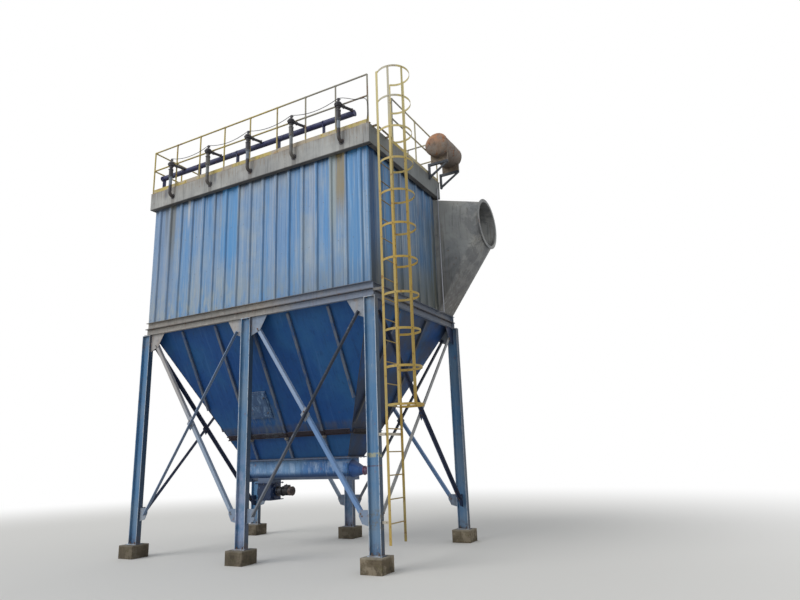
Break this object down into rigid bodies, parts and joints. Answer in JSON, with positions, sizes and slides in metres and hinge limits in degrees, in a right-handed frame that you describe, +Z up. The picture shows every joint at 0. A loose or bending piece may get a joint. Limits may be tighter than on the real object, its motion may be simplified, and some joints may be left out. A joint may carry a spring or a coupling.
{
  "type": "pulse-jet bag filter dust collector",
  "caption": "Pulse-jet bag filter with ribbed steel casing, V-bottom hopper, screw conveyor and rotary valve on a braced frame with a caged ladder.",
  "frame": {"origin": "centre of the footprint box at ground level, under the plinths' lower faces", "axes": "+Z up; +X along the long front, from the left end to the ladder and inlet end; +Y from the front to the back"},
  "size_m": [7.591, 4.683, 9.761],
  "materials": {
    "concrete": "rough cast concrete, damp and soiled",
    "column_paint": "weathered blue paint, chipped with rust at the feet",
    "beam_paint": "faded grey-blue paint with dust and rust streaks",
    "brace_paint": "faded blue-grey paint",
    "end_brace_paint": "dark navy paint",
    "casing_paint": "sun-faded blue paint with chalking and rust runs",
    "plenum_paint": "grey primer, dusty",
    "roof_paint": "bare and dusty grey paint with rust runs",
    "rail_paint": "worn yellow paint",
    "header_paint": "dark blue paint",
    "valve_paint": "near-black paint",
    "ladder_paint": "yellow paint, worn on the rungs",
    "hopper_paint": "deep blue paint with rubbed patches",
    "conveyor_paint": "blue paint, oily and worn",
    "drum_paint": "brown-grey paint with orange rust at the end",
    "bracket_paint": "dark paint",
    "conduit_zinc": "dull zinc",
    "cable_sheath": "black rubber sheath, dusty"
  },
  "bodies": {
    "root": {"plinths": "concrete", "columns": "column_paint", "long_support_beams": "beam_paint", "end_support_beams": "beam_paint", "long_base_rails": "beam_paint", "end_base_rails": "beam_paint", "long_gussets": "brace_paint", "end_gussets": "end_brace_paint", "long_braces": "brace_paint", "end_braces": "end_brace_paint", "front_wall": "casing_paint", "left_wall": "casing_paint", "right_wall": "casing_paint", "rear_wall": "casing_paint", "plenum_back": "plenum_paint", "plenum_left_end": "plenum_paint", "plenum_roof": "plenum_paint", "inlet_transition": "plenum_paint", "inlet_flange": "plenum_paint", "outlet_stub": "plenum_paint", "roof_deck": "roof_paint", "roof_lids": "roof_paint", "long_roof_bands": "roof_paint", "end_roof_bands": "roof_paint", "front_handrail": "rail_paint", "rear_handrail": "rail_paint", "left_handrail": "rail_paint", "right_handrail": "rail_paint", "air_header": "header_paint", "header_stands": "header_paint", "pulse_valves": "valve_paint", "drop_pipes": "valve_paint", "ladder": "ladder_paint", "cage_hoops": "ladder_paint", "cage_straps": "ladder_paint", "ladder_brackets": "ladder_paint", "hopper_front": "hopper_paint", "hopper_rear": "hopper_paint", "hopper_left": "hopper_paint", "hopper_right": "hopper_paint", "access_hatch": "hopper_paint", "screw_trough": "conveyor_paint", "rotary_valve": "conveyor_paint", "conveyor_drive": "conveyor_paint", "air_receiver": "drum_paint", "receiver_bracket": "bracket_paint", "corner_conduit": "conduit_zinc", "signal_cable": "cable_sheath"}
  },
  "joints": []
}
